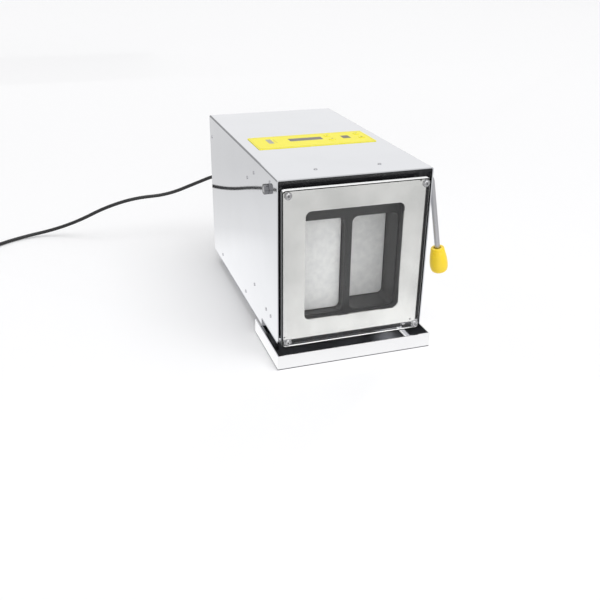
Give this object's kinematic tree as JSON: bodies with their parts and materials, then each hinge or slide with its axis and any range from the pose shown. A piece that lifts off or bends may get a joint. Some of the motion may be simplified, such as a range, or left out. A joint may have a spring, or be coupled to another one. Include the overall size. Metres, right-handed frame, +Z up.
{
  "type": "paddle blender homogenizer",
  "caption": "Bench paddle blender: steel case, clear bottom-hinged door worked by a side lever, two paddles driven in turn by a belt and cranks, drip tray, mains cord.",
  "frame": {"origin": "on the bench, under the middle of the machine's own outer box (cord, connector and plug left out)", "axes": "+Z up, the door faces -Y, +X to the right as seen from the front"},
  "size_m": [0.8565, 0.6662, 0.2657],
  "materials": {
    "stainless_cover": "fine brushed",
    "stainless_bright": "polished",
    "zinc_sheet": "zinc plated sheet",
    "black_paint": "satin black",
    "paddle_steel": "mottled blasted",
    "ground_steel": "ground",
    "yoke_alloy": "machined",
    "bronze": "bearing bronze",
    "bearing_steel": "polished",
    "bright_screws": "polished",
    "belt_rubber": "matt",
    "foot_rubber": "matt",
    "motor_paint": "satin",
    "clear_pane": "clear",
    "yellow_grip": "soft gloss",
    "yellow_film": "printed film",
    "display_dark": "gloss",
    "board_green": "matt",
    "fitting_black": "matt",
    "cord_black": "matt"
  },
  "bodies": {
    "chassis": {"cover": "stainless_cover", "base_pan": "zinc_sheet", "rear_panel": "zinc_sheet", "front_bulkhead": "black_paint", "cover_screws": "bright_screws", "chamber_rim": "black_paint", "chamber_frame": "black_paint", "paddle_sleeves": "black_paint", "sleeve_back": "black_paint", "guide_block": "yoke_alloy", "guide_bushes": "bronze", "bearing_blocks": "yoke_alloy", "crank_bearings": "bearing_steel", "drive_belt": "belt_rubber", "motor": "motor_paint", "motor_bracket": "zinc_sheet", "hinge_pins": "ground_steel", "shaft_bushes": "ground_steel", "feet": "foot_rubber", "panel_overlay": "yellow_film", "upper_bracket": "zinc_sheet", "board_posts": "zinc_sheet", "control_board": "board_green", "display_unit": "display_dark", "inlet": "fitting_black", "switch_housing": "fitting_black", "mains_connector": "fitting_black", "mains_cord": "cord_black", "cord_coil": "cord_black", "mains_plug": "fitting_black"},
    "crank": {"crankshaft": "ground_steel", "eccentrics": "ground_steel", "eccentric_rings": "bearing_steel", "crank_pulley": "yoke_alloy"},
    "left_carriage": {"paddle_left": "paddle_steel", "rods_left": "ground_steel", "yoke_left": "yoke_alloy"},
    "right_carriage": {"paddle_right": "paddle_steel", "rods_right": "ground_steel", "yoke_right": "yoke_alloy"},
    "motor_rotor": {"motor_shaft": "ground_steel", "motor_pulley": "yoke_alloy"},
    "door": {"door_pane": "clear_pane", "door_plate": "stainless_bright", "door_screws": "bright_screws", "door_arms": "ground_steel", "link_pins": "ground_steel"},
    "lever": {"lever_rod": "bright_screws", "shaft_nut": "bright_screws", "lever_grip": "yellow_grip", "crank_arms": "ground_steel", "arm_pins": "ground_steel"},
    "links": {"door_links": "ground_steel"},
    "tray": {"drip_tray": "stainless_bright"},
    "key_1": {"key_1": "yellow_film"},
    "key_2": {"key_2": "yellow_film"},
    "key_3": {"key_3": "yellow_film"},
    "key_4": {"key_4": "yellow_film"},
    "drawer": {"fuse_drawer": "fitting_black"},
    "rocker": {"switch_rocker": "fitting_black"}
  },
  "joints": [
    {"name": "crank_turn", "type": "hinge", "parent": "chassis", "child": "crank", "pos_m": [-0.02678, 0.0006, 0.1264], "axis": [1, 0, 0], "range_deg": [0, 180]},
    {"name": "left_stroke", "type": "slide", "parent": "chassis", "child": "left_carriage", "axis": [0, 1, 0], "range_m": [0, 0.026]},
    {"name": "right_stroke", "type": "slide", "parent": "chassis", "child": "right_carriage", "axis": [0, -1, 0], "range_m": [0, 0.026]},
    {"name": "motor_turn", "type": "hinge", "parent": "chassis", "child": "motor_rotor", "pos_m": [-0.02678, 0.1156, 0.07], "axis": [1, 0, 0], "range_deg": [0, 450]},
    {"name": "door_turn", "type": "hinge", "parent": "chassis", "child": "door", "pos_m": [-0.02678, -0.1819, 0.032], "axis": [1, 0, 0], "range_deg": [0, 75]},
    {"name": "lever_turn", "type": "hinge", "parent": "chassis", "child": "lever", "pos_m": [-0.02678, -0.1479, 0.2408], "axis": [1, 0, 0], "range_deg": [0, 75]},
    {"name": "link_swing", "type": "hinge", "parent": "lever", "child": "links", "pos_m": [-0.02678, -0.13404, 0.2328], "axis": [1, 0, 0], "range_deg": [-75, 0]},
    {"name": "tray_slide", "type": "slide", "parent": "chassis", "child": "tray", "axis": [0, -1, 0], "range_m": [0, 0.12]},
    {"name": "drawer_slide", "type": "slide", "parent": "chassis", "child": "drawer", "axis": [0, 1, 0], "range_m": [0, 0.016]},
    {"name": "rocker_tilt", "type": "hinge", "parent": "chassis", "child": "rocker", "pos_m": [-0.04877, 0.2016, 0.122], "axis": [1, 0, 0], "range_deg": [-14, 0]},
    {"name": "key_1_press", "type": "slide", "parent": "chassis", "child": "key_1", "axis": [0, 0, -1], "range_m": [0, 0.0005], "stiffness_N_per_m": 1500, "springref_m": -0.0004},
    {"name": "key_2_press", "type": "slide", "parent": "chassis", "child": "key_2", "axis": [0, 0, -1], "range_m": [0, 0.0005], "stiffness_N_per_m": 1500, "springref_m": -0.0004},
    {"name": "key_3_press", "type": "slide", "parent": "chassis", "child": "key_3", "axis": [0, 0, -1], "range_m": [0, 0.0005], "stiffness_N_per_m": 1500, "springref_m": -0.0004},
    {"name": "key_4_press", "type": "slide", "parent": "chassis", "child": "key_4", "axis": [0, 0, -1], "range_m": [0, 0.0005], "stiffness_N_per_m": 1500, "springref_m": -0.0004}
  ],
  "couplings": [
    {"joint": "left_stroke", "follows": "crank_turn", "m_per_rad": 0.0082761},
    {"joint": "right_stroke", "follows": "crank_turn", "m_per_rad": 0.0082761},
    {"joint": "motor_turn", "follows": "crank_turn", "ratio": 2.5},
    {"joint": "lever_turn", "follows": "door_turn", "ratio": 1},
    {"joint": "link_swing", "follows": "door_turn", "ratio": -1}
  ]
}
